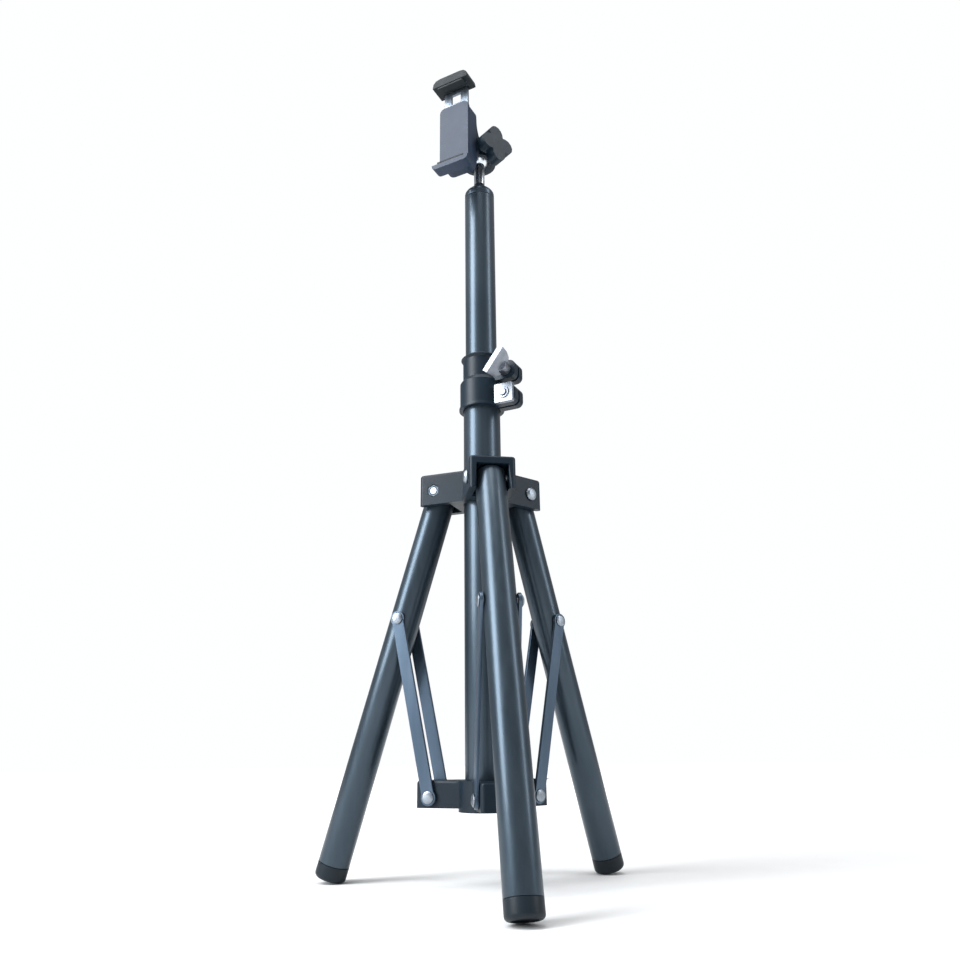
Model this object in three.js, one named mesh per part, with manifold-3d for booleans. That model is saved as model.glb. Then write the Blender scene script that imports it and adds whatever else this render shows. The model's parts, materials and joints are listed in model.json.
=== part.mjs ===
// Telescoping phone stand: three folding legs, a sliding extension tube, a ball head and a sprung
// phone clamp. Millimetres, +Z up, the front leg towards -Y, the feet on Z = 0.
import * as THREE from 'three';
import { mergeVertices } from 'three/addons/utils/BufferGeometryUtils.js';
import Module from 'manifold-3d';

const wasm = await Module();
wasm.setup();
const { degToRad, radToDeg } = THREE.MathUtils;

// ---------------------------------------------------------------- driving dimensions
const gap = 0.3; // between pieces that touch or run on each other
const roundSegments = 36;
const middleSegments = 24;
const smallSegments = 12;
const hexSides = 6;
const lobeSegments = 8;
const past = 1; // how far a cutter reaches past what it cuts

// column and extension
const columnRadius = 12.5;
const columnWall = 1;
const columnLength = 273;
const runningGap = 0.6; // round the extension in the column
const extensionRadius = columnRadius - columnWall - runningGap;
const extensionWall = 1;
const extensionLength = 260;
const extensionShown = 132; // from the collar's top to the shoulder of the ball stem
const plugFlange = 1.5;
const plugDepth = 9;
const guideLength = 10;

// legs
const legRadius = 9.8;
const legWall = 1.2;
const legLength = 249.3; // from the pivot to the middle of the foot's end
const legTilt = degToRad(17.34);
const legPivotRadius = 29.5;
const legTop = 2.6; // tube above the pivot
const legPlugHead = 1;
const legPlugEdge = 1.2;
const legPlugStep = 2;
const footCapLength = 9;
const footCapEdge = 2.4;
const footCapEdgeSteps = 3;
const footCapStem = 12;
const legAzimuths = { front: -90, right: 30, left: 150 };

// upper hub, measured from the leg pivots
const hubUp = 11.5;
const hubDown = 9.5;
const hubRoof = 5;
const hubWall = 4.4;
const hubReach = 39.5;
const hubRing = 4;
const hubCorner = 2.5;
const legSideGap = 0.5;
const pivotBoltRadius = 2.5;
const pivotHeadRadius = 4.4;
const pivotHeadHeight = 2.6;
const pivotHeadEdge = 0.8;
const pivotHeadCrown = 3.1; // radius of the flat on the domed head
const pivotHeadDome = 0.5; // above that flat's edge
const pivotNutRadius = 4.2;
const pivotNutHeight = 3;
const hubLockAzimuth = 81;
const hubLockBossRadius = 5.5;
const hubLockBossReach = 24;
const hubLockInsertRadius = 3.8;
const hubLockScrewRadius = 2.5;
const hubLockKnobRadius = 8;
const hubLockKnobStart = 31;
const hubLockKnobLength = 11;
const hubLockKnobRibs = 6;
const hubLockKnobGroove = 1;
const hubLockNeckRadius = 4.5;
const knobEndWall = 3; // of a knob over the end of its screw

// lower hub and struts
const lowerPivotRadius = 32.5;
const lowerHubUp = 9.4;
const lowerHubDown = 6;
const lowerHubSkirt = 2;
const lowerHubReach = 41.5;
const lowerHubRing = 4;
const lowerHubCorner = 2.5;
const strutLength = 109.9;
const strutAlongLeg = 86.4; // from the leg pivot to the strut rivet
const strutWidth = 8;
const strutEndRadius = 4.8;
const strutThickness = 2;
const strutSideGap = 0.4;
const rivetRadius = 2;
const rivetHeadRadius = 3.7;
const rivetHeadHeight = 1.3;
const rivetHeadEdge = 0.4;
const rivetHeadCrown = 2.2;
const openPivotGap = 0.8; // the rivet's play in the leg, where the linkage is opened
const lowerScrewRadius = 2;
const lowerScrewLength = 6;

// collar at the column's top
const collarUpperHeight = 20;
const collarLowerHeight = 19.5;
const collarUpperWall = 1.5;
const collarLowerWall = 2;
const collarLip = 1.4;
const collarLipHeight = 3;
const collarAzimuth = -36;
const earHalfWidth = 6.5;
const earSlit = 2;
const earHeight = 13;
const earGap = 5;
const earCorner = 4;
const earEdge = 0.6; // of the ear past the square nut
const boltEndShown = 1;
const earBoltRadius = 2.4;
const squareNutWidth = 13.4;
const squareNutHeight = 13.6;
const squareNutCorner = 1;
const squareNutThickness = 3;
const squareNutRaised = 0.8;
const squareNutRing = 4;
const wingLength = 20;
const wingThickness = 4;
const wingDepth = 12.5;
const wingHubRadius = 4.6;
const wingHubLength = 6;
const wingAngle = degToRad(53);
const hexNutRadius = 4.6;
const hexNutThickness = 3.8;

// ball stem and ball head
const shoulderHeight = 13;
const shoulderSkirt = 0.25; // share of the height before the shoulder turns in
const shoulderSteps = 4;
const ballSteps = 8;
const stemShank = 14;
const neckRadius = 4;
const neckLength = 25; // from the shoulder to the ball's centre
const ballRadius = 8;
const ballGap = 0.2;
const headYaw = degToRad(-37.5);
const headTilt = 0;
const housingRadius = 12.5;
const housingUp = 10;
const housingEdge = 2;
const housingDown = 6.3;
const housingLip = 3.7; // the socket's edge below the ball's centre
const housingFlare = 10;
const armHalfWidth = 4.5;
const armTop = 26;
const armThickness = 2.6;
const lockAzimuth = -22; // from the head's right hand, towards the phone
const lockBossRadius = 6;
const lockBossReach = 13.4;
const lockScrewRadius = 2.9;
const lockKnobRadius = 14.5;
const lockKnobWaist = 8.5;
const lockKnobStart = 14.2;
const lockKnobThickness = 8;
const lockKnobHubRadius = 5;
const lockKnobTurn = 8; // of the lobes, from upright
const shoeLength = 2.9;
const platformRadius = 8.5;
const platformReach = 14.5;
const platformSunk = 3; // into the housing's side
const cameraScrewRadius = 3.1;
const cameraScrewGrip = 4.5;

// phone clamp, measured from the ball's centre towards the phone
const clampOffset = -6; // the clamp's middle from the camera screw, sideways
const clampBack = 14.8;
const clampSplit = 25.3;
const clampFront = 28.3;
const clampSkin = 1; // of the front shell over the screws' ends
const clampWidth = 24;
const clampTop = 31;
const clampBackBottom = -22.5;
const clampCorner = 4;
const clampBackCorner = 6;
const phoneBottom = -21.5;
const phoneWidth = 66.5;
const jawFloor = 3.8;
const jawPad = 1.5;
const jawPadInset = 1;
const jawReach = 6.5; // of both jaws in front of the body
const jawWidth = 30;
const jawCorner = 3.6;
const ledgeDepth = 0.6; // in front of the body, filling the corner behind the lower pad
const slideWidth = 20;
const slideThickness = 2;
const slideBottom = -4;
const slideWindowWidth = 8;
const slideWindowHeight = 8.5;
const slideWindowCorner = 0.8;
const slideWindowDrop = 9.5; // from the phone's upper edge to the window's lower edge
const jawHeight = 9;
const upperJawCorner = 6.5;
const jawBehind = 2; // of the upper jaw behind the slide
const jawRoof = 2; // of rubber over the slide's upper end
const jawTravelDown = 6;
const springRadius = 2.1;
const springWire = 0.45;
const springTurns = 7;
const springSteps = 7; // in each turn
const springWireSegments = 3;
const springOffset = 4.5;
const springBottom = -19;
const clampScrewOffset = 9.3;
const clampScrewHeight = -16.5;
const clampScrewRadius = 1;
const clampScrewHeadRadius = 2;
const clampScrewHeadHeight = 1.2;

// ---------------------------------------------------------------- materials
const paint = (color, roughness, metalness) => new THREE.MeshStandardMaterial({ color, roughness, metalness });
const tubePaint = paint(0x34444f, 0.35, 0.5);
const hubPlastic = paint(0x1b2730, 0.5, 0);
const footRubber = paint(0x14181c, 0.8, 0);
const strutPaint = paint(0x5a6e82, 0.4, 0.6);
const zinc = paint(0xaab2bb, 0.35, 1);
const chrome = paint(0xd8dde2, 0.1, 1);
const brass = paint(0xb59a5a, 0.35, 1);
const clampPlastic = paint(0x46566b, 0.5, 0);
const slideMetal = paint(0xb4bcc4, 0.35, 0.8);
const jawRubber = paint(0x2c3438, 0.85, 0);
const springSteel = paint(0x8d949b, 0.3, 1);

// ---------------------------------------------------------------- solids
function toSolid(geometry) {
  geometry.deleteAttribute('normal');
  geometry.deleteAttribute('uv');
  const welded = mergeVertices(geometry, 1e-4);
  const vertProperties = new Float32Array(welded.getAttribute('position').array);
  const triVerts = new Uint32Array(welded.getIndex().array);
  return new wasm.Manifold(new wasm.Mesh({ numProp: 3, vertProperties, triVerts }));
}

function toGeometry(solid) {
  const { vertProperties, triVerts } = solid.getMesh();
  const geometry = new THREE.BufferGeometry();
  geometry.setAttribute('position', new THREE.BufferAttribute(vertProperties, 3));
  geometry.setIndex(new THREE.BufferAttribute(triVerts, 1));
  geometry.computeVertexNormals();
  return geometry;
}

// A round solid about Z from [radius, height] points, with the surface to the left of the path's way up.
function turned(points, segments = roundSegments) {
  const profile = points.map(([radius, height]) => new THREE.Vector2(radius, height));
  return toSolid(new THREE.LatheGeometry(profile, segments).rotateX(Math.PI / 2));
}

function rod(radius, bottom, top, segments = roundSegments) {
  return turned([[0, bottom], [radius, bottom], [radius, top], [0, top]], segments);
}

function pipe(outer, inner, bottom, top, segments = roundSegments) {
  return turned([[inner, bottom], [outer, bottom], [outer, top], [inner, top], [inner, bottom]], segments);
}

function block(xs, ys, zs) {
  const size = [xs, ys, zs].map(([low, high]) => high - low);
  const middle = [xs, ys, zs].map(([low, high]) => (low + high) / 2);
  return toSolid(new THREE.BoxGeometry(...size).translate(...middle));
}

// A flat outline in X and Y raised from bottom to top.
function raised(shape, bottom, top, curveSegments = 3) {
  const settings = { depth: top - bottom, bevelEnabled: false, curveSegments };
  return toSolid(new THREE.ExtrudeGeometry(shape, settings).translate(0, 0, bottom));
}

function roundedRectangle(left, right, bottom, top, corner) {
  const shape = new THREE.Shape();
  shape.moveTo(left + corner, bottom);
  shape.lineTo(right - corner, bottom);
  shape.absarc(right - corner, bottom + corner, corner, -Math.PI / 2, 0);
  shape.lineTo(right, top - corner);
  shape.absarc(right - corner, top - corner, corner, 0, Math.PI / 2);
  shape.lineTo(left + corner, top);
  shape.absarc(left + corner, top - corner, corner, Math.PI / 2, Math.PI);
  shape.lineTo(left, bottom + corner);
  shape.absarc(left + corner, bottom + corner, corner, Math.PI, 1.5 * Math.PI);
  return shape;
}

// A round knob's outline with soft lobes between a waist and a tip radius.
function lobedShape(lobes, tip, waist) {
  const shape = new THREE.Shape();
  const steps = lobes * lobeSegments;
  const points = [];
  for (let step = 0; step < steps; step += 1) {
    const angle = (step / steps) * 2 * Math.PI;
    const swell = Math.sqrt((1 + Math.cos(lobes * angle)) / 2);
    const radius = waist + (tip - waist) * swell;
    points.push(new THREE.Vector2(radius * Math.cos(angle), radius * Math.sin(angle)));
  }
  shape.setFromPoints(points);
  return shape;
}

const quarter = 90;
const alongX = (solid) => solid.rotate([0, quarter, 0]);
const alongBack = (solid) => solid.rotate([-quarter, 0, 0]); // Z becomes +Y
const alongFront = (solid) => solid.rotate([quarter, 0, 0]); // Z becomes -Y

// ---------------------------------------------------------------- scene helpers
const stand = new THREE.Group();

function group(parent, position = [0, 0, 0], turn = [0, 0, 0], order = 'XYZ') {
  const made = new THREE.Group();
  made.position.set(...position);
  made.rotation.set(...turn, order);
  parent.add(made);
  return made;
}

function piece(parent, name, solid, material) {
  const mesh = new THREE.Mesh(toGeometry(solid), material);
  mesh.name = name;
  parent.add(mesh);
  return mesh;
}

// ---------------------------------------------------------------- heights worked out from the linkage
const pivotHeight = legLength * Math.cos(legTilt);
const rivetReach = legPivotRadius + strutAlongLeg * Math.sin(legTilt);
const rivetHeight = pivotHeight - strutAlongLeg * Math.cos(legTilt);
const strutLean = Math.asin((rivetReach - lowerPivotRadius) / strutLength);
const lowerPivotHeight = rivetHeight - strutLength * Math.cos(strutLean);
const columnBottom = lowerPivotHeight - lowerHubDown - lowerHubSkirt + plugFlange + gap;
const columnTop = columnBottom + columnLength;
const columnBore = columnRadius - columnWall;
const extensionBore = extensionRadius - extensionWall;
const collarTop = columnTop + gap + collarUpperHeight;
const shoulderBase = collarTop + extensionShown;
const ballHeight = shoulderBase + shoulderHeight + neckLength;

// ---------------------------------------------------------------- column
function columnTube() {
  return pipe(columnRadius, columnBore, columnBottom, columnTop);
}

function columnEndPlug() {
  const flangeTop = columnBottom - gap;
  const flangeBottom = flangeTop - plugFlange;
  const stem = columnBore - gap;
  return turned([
    [0, flangeBottom], [columnRadius, flangeBottom], [columnRadius, flangeTop],
    [stem, flangeTop], [stem, flangeBottom + plugDepth], [0, flangeBottom + plugDepth],
  ]);
}

function lowerHub() {
  const bottom = lowerPivotHeight - lowerHubDown;
  const top = lowerPivotHeight + lowerHubUp;
  const halfWidth = legRadius + strutSideGap - gap;
  let hub = rod(columnRadius + lowerHubRing, bottom - lowerHubSkirt, top);
  for (const azimuth of Object.values(legAzimuths)) {
    const outline = roundedRectangle(0, lowerHubReach, -halfWidth, halfWidth, lowerHubCorner);
    const lug = raised(outline, bottom, top).rotate([0, 0, azimuth]);
    const hole = alongBack(rod(rivetRadius + gap, -halfWidth - past, halfWidth + past, smallSegments))
      .translate([lowerPivotRadius, 0, lowerPivotHeight]).rotate([0, 0, azimuth]);
    hub = hub.add(lug).subtract(hole);
  }
  const screwHole = alongBack(rod(lowerScrewRadius + gap, 0, hubReach, smallSegments));
  const bore = rod(columnRadius + gap, bottom - lowerHubSkirt - past, top + past);
  return hub.subtract(screwHole.translate([0, 0, lowerPivotHeight])).subtract(bore);
}

function lowerHubScrew() {
  const inner = columnRadius + gap + gap;
  const shank = rod(lowerScrewRadius, inner, inner + lowerScrewLength, smallSegments);
  return alongBack(shank).translate([0, 0, lowerPivotHeight]);
}

// ---------------------------------------------------------------- collar: its ears point along +X
const earFace = earHalfWidth + gap;
const collarLipRadius = columnRadius + gap + collarLowerWall + collarLip / 2;
const earBoltOffset = Math.sqrt(collarLipRadius ** 2 - earFace ** 2) + gap + squareNutWidth / 2;
const earReach = earBoltOffset + squareNutWidth / 2 + earEdge;
const lowerEarMiddle = earHeight / 2 - collarLowerHeight;
const earMiddles = [lowerEarMiddle, lowerEarMiddle + earHeight + earGap];

function columnCollar() {
  const top = collarTop - columnTop;
  const lipRadius = extensionRadius + gap + collarUpperWall + collarLip;
  const upperRadius = extensionRadius + gap + collarUpperWall;
  const lowerRadius = columnRadius + gap + collarLowerWall;
  const profile = [
    [columnRadius + gap, -collarLowerHeight],
    [collarLipRadius, -collarLowerHeight],
    [collarLipRadius, -collarLowerHeight + collarLipHeight / 2],
    [lowerRadius, -collarLowerHeight + collarLipHeight],
    [lowerRadius, 0],
    [upperRadius, collarLipHeight],
    [upperRadius, top - collarLipHeight],
    [lipRadius, top - collarLipHeight / 2],
    [extensionRadius + collarUpperWall, top],
    [extensionRadius + gap, top],
    [extensionRadius + gap, gap],
    [columnRadius + gap, gap],
    [columnRadius + gap, -collarLowerHeight],
  ];
  let collar = turned(profile);
  const ring = rod(extensionRadius + gap, -collarLowerHeight - past, top + past)
    .add(rod(columnRadius + gap, -collarLowerHeight - past, gap));
  for (const middle of earMiddles) {
    const zs = [middle - earHeight / 2, middle + earHeight / 2];
    const outline = roundedRectangle(zs[0], zs[1], -earReach, 0, earCorner);
    const ear = raised(outline, -earHalfWidth, earHalfWidth).rotate([0, 0, quarter]).rotate([quarter, 0, 0]);
    const bolt = alongBack(rod(earBoltRadius + gap, -earHalfWidth - past, earHalfWidth + past, smallSegments));
    collar = collar.add(ear.subtract(ring)).subtract(bolt.translate([earBoltOffset, 0, middle]));
  }
  const slitHeights = [-collarLowerHeight - past, top + past];
  const slit = block([0, earReach + past], [-earSlit / 2, earSlit / 2], slitHeights);
  return collar.subtract(slit);
}

function earBolt(frontEnd, backEnd) {
  return alongFront(rod(earBoltRadius, -backEnd, frontEnd, smallSegments));
}

function collarBolt() {
  const shank = earBolt(earFace + squareNutThickness + squareNutRaised + boltEndShown, earFace);
  const head = alongFront(rod(hexNutRadius, -earFace - hexNutThickness, -earFace, hexSides));
  return shank.add(head);
}

function squareNut() {
  const half = squareNutWidth / 2;
  const outline = roundedRectangle(-half, half, -squareNutHeight / 2, squareNutHeight / 2, squareNutCorner);
  const plate = raised(outline, earFace, earFace + squareNutThickness);
  const face = earFace + squareNutThickness;
  const ring = rod(squareNutRing, face - past, face + squareNutRaised);
  const hole = rod(earBoltRadius + gap, earFace - past, face + squareNutRaised + past, smallSegments);
  return alongFront(plate.add(ring).subtract(hole));
}

function hexNut() {
  const nut = rod(hexNutRadius, -earFace - hexNutThickness, -earFace, hexSides);
  const hole = rod(earBoltRadius + gap, -earFace - hexNutThickness - past, -earFace + past, smallSegments);
  return alongFront(nut.subtract(hole));
}

function wingKnob() {
  const half = wingLength / 2;
  const thick = wingThickness / 2;
  const shape = new THREE.Shape();
  shape.moveTo(-wingHubRadius, earFace + wingHubLength / 2);
  shape.lineTo(wingHubRadius, earFace + wingHubLength / 2);
  shape.quadraticCurveTo(half, earFace + wingHubLength, half, earFace + wingHubLength + wingDepth);
  shape.lineTo(-half, earFace + wingHubLength + wingDepth);
  shape.quadraticCurveTo(-half, earFace + wingHubLength, -wingHubRadius, earFace + wingHubLength / 2);
  const paddle = raised(shape, -thick, thick).rotate([quarter, 0, 0]);
  const hub = rod(wingHubRadius, earFace, earFace + wingHubLength + 2, smallSegments);
  const hole = rod(earBoltRadius + gap, earFace - past, earFace + wingHubLength, smallSegments);
  const knob = paddle.add(hub).subtract(hole);
  return alongFront(knob.rotate([0, 0, radToDeg(wingAngle)]));
}

function wingScrew() {
  return earBolt(earFace + wingHubLength - gap, earFace + hexNutThickness + boltEndShown);
}

// ---------------------------------------------------------------- upper hub: heights from the leg pivots
const legHalfGap = legRadius + legSideGap;
const lugHalfWidth = legHalfGap + hubWall;

function upperHub() {
  const ringRadius = columnRadius + gap + hubRing;
  let hub = rod(ringRadius, -hubDown, hubUp);
  let cuts = rod(columnRadius + gap, -hubDown - past, hubUp + past);
  for (const azimuth of Object.values(legAzimuths)) {
    const outline = roundedRectangle(0, hubReach, -lugHalfWidth, lugHalfWidth, hubCorner);
    hub = hub.add(raised(outline, -hubDown, hubUp).rotate([0, 0, azimuth]));
    const channelStart = legPivotRadius - legRadius - legSideGap - gap;
    const channelHeights = [-hubDown - past, hubUp - hubRoof];
    const channel = block([channelStart, hubReach + past], [-legHalfGap, legHalfGap], channelHeights);
    const outside = lugHalfWidth + past;
    const hole = alongBack(rod(pivotBoltRadius + gap, -outside, outside, smallSegments));
    const nutSeat = lugHalfWidth - pivotNutHeight;
    const nutPocket = alongBack(rod(pivotNutRadius + gap, nutSeat, outside, hexSides));
    const pivotCuts = hole.add(nutPocket).translate([legPivotRadius, 0, 0]);
    cuts = cuts.add(channel.add(pivotCuts).rotate([0, 0, azimuth]));
  }
  const boss = alongX(rod(hubLockBossRadius, columnRadius, hubLockBossReach, smallSegments));
  const insertHole = alongX(rod(hubLockInsertRadius + gap, 0, hubLockBossReach + past, smallSegments));
  hub = hub.add(boss.rotate([0, 0, hubLockAzimuth]));
  return hub.subtract(cuts).subtract(insertHole.rotate([0, 0, hubLockAzimuth]));
}

function hubLockInsert() {
  const inner = columnRadius + gap + gap;
  return alongX(pipe(hubLockInsertRadius, hubLockScrewRadius + gap, inner, hubLockBossReach, smallSegments));
}

function hubLockScrew() {
  const end = hubLockKnobStart + hubLockKnobLength - knobEndWall;
  return alongX(rod(hubLockScrewRadius, columnRadius + gap, end, smallSegments));
}

function hubLockKnob() {
  const end = hubLockKnobStart + hubLockKnobLength;
  const outline = lobedShape(hubLockKnobRibs, hubLockKnobRadius, hubLockKnobRadius - hubLockKnobGroove);
  const body = raised(outline, hubLockKnobStart, end);
  const neck = rod(hubLockNeckRadius, hubLockBossReach + gap, hubLockKnobStart + past, smallSegments);
  const hole = rod(hubLockScrewRadius + gap, hubLockBossReach, end - knobEndWall + gap, smallSegments);
  return alongX(body.add(neck).subtract(hole));
}

function pivotBolt() {
  const inner = lugHalfWidth + gap;
  const head = turned([
    [0, inner], [pivotHeadRadius, inner], [pivotHeadRadius, inner + pivotHeadEdge],
    [pivotHeadCrown, inner + pivotHeadHeight - pivotHeadDome], [0, inner + pivotHeadHeight],
  ], smallSegments);
  const shank = rod(pivotBoltRadius, -lugHalfWidth + gap, inner + gap, smallSegments);
  return alongFront(head.add(shank));
}

function pivotNut() {
  const outer = lugHalfWidth - gap;
  const inner = lugHalfWidth - pivotNutHeight + gap;
  const nut = rod(pivotNutRadius, inner, outer, hexSides);
  return alongBack(nut.subtract(rod(pivotBoltRadius + gap, inner - past, outer + past, smallSegments)));
}

// ---------------------------------------------------------------- leg: pivot at the origin, foot towards -Z
function legTube() {
  const capTop = -legLength + footCapLength;
  const tube = pipe(legRadius, legRadius - legWall, capTop + gap, legTop);
  const pivotHole = alongBack(rod(pivotBoltRadius + gap, -legRadius - past, legRadius + past, smallSegments));
  const play = rivetRadius + openPivotGap;
  const rivetHole = alongBack(rod(play, -legRadius - past, legRadius + past, smallSegments));
  return tube.subtract(pivotHole).subtract(rivetHole.translate([0, 0, -strutAlongLeg]));
}

function legTopPlug() {
  const stem = legRadius - legWall - gap;
  const head = legRadius - legPlugEdge;
  const bottom = legTop + gap;
  const seat = pivotBoltRadius + gap + gap;
  const sleeve = turned([
    [0, seat], [stem, seat - legPlugStep], [stem, bottom], [legRadius - gap, bottom],
    [head, bottom + legPlugHead], [0, bottom + legPlugHead],
  ], middleSegments);
  const boltRoom = alongBack(rod(seat, -legRadius, legRadius, smallSegments));
  return sleeve.subtract(boltRoom);
}

function footCap() {
  const stem = legRadius - legWall - gap;
  const points = [[0, -legLength]];
  for (let step = 0; step <= footCapEdgeSteps; step += 1) {
    const angle = (step / footCapEdgeSteps) * (Math.PI / 2);
    const radius = legRadius - footCapEdge + footCapEdge * Math.sin(angle);
    points.push([radius, -legLength + footCapEdge - footCapEdge * Math.cos(angle)]);
  }
  const capTop = -legLength + footCapLength;
  points.push([legRadius, capTop], [stem, capTop], [stem, capTop + footCapStem], [0, capTop + footCapStem]);
  return turned(points);
}

// ---------------------------------------------------------------- struts: lower pivot at the origin, up +Z
function strutBar(side) {
  const half = strutWidth / 2;
  const bend = Math.asin(half / strutEndRadius);
  const outline = new THREE.Shape();
  outline.absarc(0, 0, strutEndRadius, Math.PI / 2 + bend, 2.5 * Math.PI - bend);
  outline.absarc(0, strutLength, strutEndRadius, -Math.PI / 2 + bend, 1.5 * Math.PI - bend);
  const inner = legRadius + strutSideGap;
  let bar = raised(outline, inner, inner + strutThickness, 8);
  for (const along of [0, strutLength]) {
    const hole = rod(rivetRadius + gap, inner - past, inner + strutThickness + past, smallSegments);
    bar = bar.subtract(hole.translate([0, along, 0]));
  }
  const upright = bar.rotate([quarter, 0, 0]);
  return side > 0 ? upright.mirror([0, 1, 0]) : upright;
}

function strutRivet() {
  const seat = legRadius + strutSideGap + strutThickness + gap;
  const head = turned([
    [0, seat], [rivetHeadRadius, seat], [rivetHeadRadius, seat + rivetHeadEdge],
    [rivetHeadCrown, seat + rivetHeadHeight], [0, seat + rivetHeadHeight],
  ], smallSegments);
  const shank = rod(rivetRadius, -seat - rivetHeadEdge, seat + rivetHeadEdge, smallSegments);
  return alongFront(head.add(shank).add(head.mirror([0, 0, 1])));
}

// ---------------------------------------------------------------- extension
function extensionGuide() {
  const bottom = shoulderBase - extensionLength - guideLength;
  const stem = extensionBore - gap;
  const seat = bottom + guideLength - gap;
  return turned([
    [0, bottom], [columnBore - gap, bottom], [columnBore - gap, seat],
    [stem, seat], [stem, seat + guideLength], [0, seat + guideLength],
  ]);
}

function extensionTube() {
  return pipe(extensionRadius, extensionBore, shoulderBase - extensionLength, shoulderBase);
}

// Heights from the ball's centre: a shank in the tube, a rounded shoulder, the neck and the ball.
function ballStem() {
  const base = -neckLength - shoulderHeight + gap;
  const shank = extensionBore - gap;
  const points = [[0, base - stemShank], [shank, base - stemShank], [shank, base], [extensionRadius, base]];
  const run = extensionRadius - neckRadius;
  for (let step = 1; step <= shoulderSteps; step += 1) {
    const part = step / shoulderSteps;
    const radius = extensionRadius - run * (1 - Math.cos(part * Math.PI)) / 2;
    points.push([radius, base + shoulderHeight * (shoulderSkirt + (1 - shoulderSkirt) * part)]);
  }
  const start = -Math.sqrt(ballRadius ** 2 - neckRadius ** 2);
  points.push([neckRadius, start]);
  const first = Math.asin(start / ballRadius);
  for (let step = 1; step <= ballSteps; step += 1) {
    const angle = first + (step / ballSteps) * (Math.PI / 2 - first);
    points.push([step === ballSteps ? 0 : ballRadius * Math.cos(angle), ballRadius * Math.sin(angle)]);
  }
  return turned(points, middleSegments);
}

// ---------------------------------------------------------------- ball head: ball's centre at the origin
// A curved arm behind the clamp, from the housing's top to its own top.
function housingArm() {
  const back = -platformReach;
  const outline = new THREE.Shape();
  outline.moveTo(back, 0);
  outline.lineTo(0, 0);
  outline.lineTo(0, housingUp - housingEdge);
  outline.quadraticCurveTo(back + armThickness, housingUp, back + armThickness, armTop);
  outline.lineTo(back, armTop);
  return raised(outline, -armHalfWidth, armHalfWidth, 6).rotate([quarter, 0, 0]).rotate([0, 0, quarter]);
}

function ballHousing() {
  const socket = ballRadius + ballGap;
  const body = turned([
    [0, -housingDown], [housingRadius, -housingDown], [housingRadius, housingUp - housingEdge],
    [housingRadius - housingEdge, housingUp], [0, housingUp],
  ], middleSegments);
  const lockBoss = alongX(rod(lockBossRadius, 0, lockBossReach, smallSegments));
  const lockBore = alongX(rod(lockScrewRadius + 2 * gap, 0, lockBossReach + past, smallSegments));
  const platform = alongFront(rod(platformRadius, housingRadius - platformSunk, platformReach, middleSegments));
  const screwBore = alongFront(rod(cameraScrewRadius + gap, 0, platformReach + past, smallSegments));
  const lipAngle = -Math.asin(housingLip / socket);
  const cavity = [[0, -housingDown - past], [housingFlare, -housingDown - past], [housingFlare, -housingDown]];
  const arc = 8;
  for (let step = 0; step <= arc; step += 1) {
    const angle = lipAngle + (step / arc) * (Math.PI / 2 - lipAngle);
    cavity.push([step === arc ? 0 : socket * Math.cos(angle), socket * Math.sin(angle)]);
  }
  return body.add(platform).add(housingArm()).add(lockBoss.rotate([0, 0, lockAzimuth]))
    .subtract(turned(cavity, middleSegments))
    .subtract(lockBore.rotate([0, 0, lockAzimuth]))
    .subtract(screwBore);
}

// The lock runs along its own +X, away from the ball.
function brakeShoe() {
  const outer = ballRadius + ballGap + shoeLength;
  const shoe = alongX(rod(lockScrewRadius + gap, ballRadius / 2, outer, smallSegments));
  const ball = toSolid(new THREE.SphereGeometry(ballRadius + ballGap, middleSegments, smallSegments));
  return shoe.subtract(ball);
}

function lockScrew() {
  const start = ballRadius + ballGap + shoeLength + gap;
  return alongX(rod(lockScrewRadius, start, lockKnobStart + lockKnobThickness - knobEndWall, smallSegments));
}

function lockKnob() {
  const end = lockKnobStart + lockKnobThickness;
  const lobes = lobedShape(4, lockKnobRadius, lockKnobWaist);
  const body = raised(lobes, lockKnobStart, end).rotate([0, 0, lockKnobTurn]);
  const hub = rod(lockKnobHubRadius, lockBossReach + gap, lockKnobStart + past, smallSegments);
  const hole = rod(lockScrewRadius + gap, lockBossReach, end - knobEndWall + gap, smallSegments);
  return alongX(body.add(hub).subtract(hole));
}

function cameraScrew() {
  return alongFront(rod(cameraScrewRadius, ballRadius + past, platformReach + cameraScrewGrip, smallSegments));
}

// ---------------------------------------------------------------- phone clamp: the phone towards -Y
const slideBack = clampSplit - 2 * gap - slideThickness;
const phoneTop = phoneBottom + phoneWidth;
const floorTop = phoneBottom - jawPad - gap;
const floorBottom = floorTop - jawFloor;
const jawFront = clampFront + jawReach;
const springAxis = clampSplit - gap - springRadius - springWire;

// Raises an outline in X and Z over a range measured towards the phone.
function towardsPhone(shape, near, far) {
  return raised(shape, near, far).rotate([quarter, 0, 0]);
}

function clampOutline(bottom, corner) {
  return roundedRectangle(-clampWidth / 2, clampWidth / 2, bottom, clampTop, corner);
}

// A jaw seen from the phone: flat on the phone's side, with two round corners on the far side.
function jawOutline(flat, far, round) {
  const half = jawWidth / 2;
  const corner = Math.sign(far - flat) * round;
  const shape = new THREE.Shape();
  shape.moveTo(-half, flat);
  shape.lineTo(half, flat);
  shape.lineTo(half, far - corner);
  shape.quadraticCurveTo(half, far, half - round, far);
  shape.lineTo(-half + round, far);
  shape.quadraticCurveTo(-half, far, -half, far - corner);
  return shape;
}

function clampScrewHoles(near, far, radius) {
  const hole = alongFront(rod(radius, near, far, smallSegments));
  const left = hole.translate([-clampScrewOffset, 0, clampScrewHeight]);
  return left.add(hole.translate([clampScrewOffset, 0, clampScrewHeight]));
}

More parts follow.
